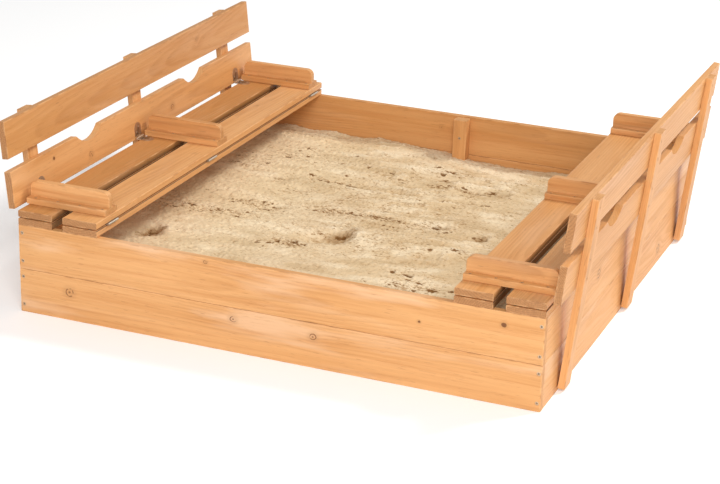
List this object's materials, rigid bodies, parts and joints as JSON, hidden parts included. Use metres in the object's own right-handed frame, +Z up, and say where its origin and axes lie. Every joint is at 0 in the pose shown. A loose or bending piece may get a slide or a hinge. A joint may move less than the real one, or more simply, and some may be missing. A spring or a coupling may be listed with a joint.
{
  "type": "sandbox with cover",
  "caption": "Square wooden sandbox filled with sand, whose hinged cover unfolds into facing benches with backrests and armrests.",
  "frame": {"origin": "on the ground, under the middle of the whole object", "axes": "+X along the front wall to the right, +Y from the front wall to the back wall, +Z up"},
  "size_m": [1.304, 1.196, 0.422],
  "materials": {
    "cedar": "satin stain",
    "hinge_metal": "dark bronze",
    "screw_metal": "dull zinc",
    "sand": "matte",
    "liner": "matte"
  },
  "bodies": {
    "frame": {"back_wall_lower_board": "cedar", "back_wall_post": "cedar", "back_wall_upper_board": "cedar", "bench_cleats": "cedar", "fixed_plank_hinge_screws": "screw_metal", "fold_hinge_fixed_leaves": "hinge_metal", "fold_hinge_pins": "hinge_metal", "frame_screws": "screw_metal", "front_wall_lower_board": "cedar", "front_wall_post": "cedar", "front_wall_upper_board": "cedar", "ground_liner": "liner", "left_fixed_inner_plank": "cedar", "left_fixed_outer_plank": "cedar", "left_wall_lower_board": "cedar", "left_wall_upper_board": "cedar", "post_screws": "screw_metal", "right_fixed_inner_plank": "cedar", "right_fixed_outer_plank": "cedar", "right_wall_lower_board": "cedar", "right_wall_upper_board": "cedar", "sand_fill": "sand"},
    "left_seat": {"left_armrest_bases": "cedar", "left_armrest_screws": "screw_metal", "left_armrest_upright_front": "cedar", "left_armrest_upright_middle": "cedar", "left_armrest_upright_rear": "cedar", "left_back_hinge_pins": "hinge_metal", "left_back_hinge_seat_leaves": "hinge_metal", "left_fold_hinge_seat_leaves": "hinge_metal", "left_seat_hinge_screws": "screw_metal", "left_seat_inner_plank": "cedar", "left_seat_outer_plank": "cedar"},
    "left_backrest": {"left_back_hinge_back_leaves": "hinge_metal", "left_backrest_batten_screws": "screw_metal", "left_backrest_front_batten": "cedar", "left_backrest_hinge_screws": "screw_metal", "left_backrest_lower_board": "cedar", "left_backrest_middle_batten": "cedar", "left_backrest_rear_batten": "cedar", "left_backrest_upper_board": "cedar"},
    "right_seat": {"right_armrest_bases": "cedar", "right_armrest_screws": "screw_metal", "right_armrest_upright_front": "cedar", "right_armrest_upright_middle": "cedar", "right_armrest_upright_rear": "cedar", "right_back_hinge_pins": "hinge_metal", "right_back_hinge_seat_leaves": "hinge_metal", "right_fold_hinge_seat_leaves": "hinge_metal", "right_seat_hinge_screws": "screw_metal", "right_seat_inner_plank": "cedar", "right_seat_outer_plank": "cedar"},
    "right_backrest": {"right_back_hinge_back_leaves": "hinge_metal", "right_backrest_batten_screws": "screw_metal", "right_backrest_front_batten": "cedar", "right_backrest_hinge_screws": "screw_metal", "right_backrest_lower_board": "cedar", "right_backrest_middle_batten": "cedar", "right_backrest_rear_batten": "cedar", "right_backrest_upper_board": "cedar"}
  },
  "joints": [
    {"name": "left_seat_fold", "type": "hinge", "parent": "frame", "child": "left_seat", "pos_m": [-0.397, 0, 0.2166], "axis": [0, 1, 0], "range_deg": [0, 180]},
    {"name": "left_backrest_fold", "type": "hinge", "parent": "left_seat", "child": "left_backrest", "pos_m": [-0.5967, 0, 0.2358], "axis": [0, -1, 0], "range_deg": [0, 83.75]},
    {"name": "right_seat_fold", "type": "hinge", "parent": "frame", "child": "right_seat", "pos_m": [0.397, 0, 0.2166], "axis": [0, -1, 0], "range_deg": [0, 180]},
    {"name": "right_backrest_fold", "type": "hinge", "parent": "right_seat", "child": "right_backrest", "pos_m": [0.5967, 0, 0.2358], "axis": [0, 1, 0], "range_deg": [0, 83.75]}
  ],
  "couplings": [
    {"joint": "left_backrest_fold", "follows": "left_seat_fold", "ratio": 0.46527},
    {"joint": "right_backrest_fold", "follows": "right_seat_fold", "ratio": 0.46527}
  ]
}
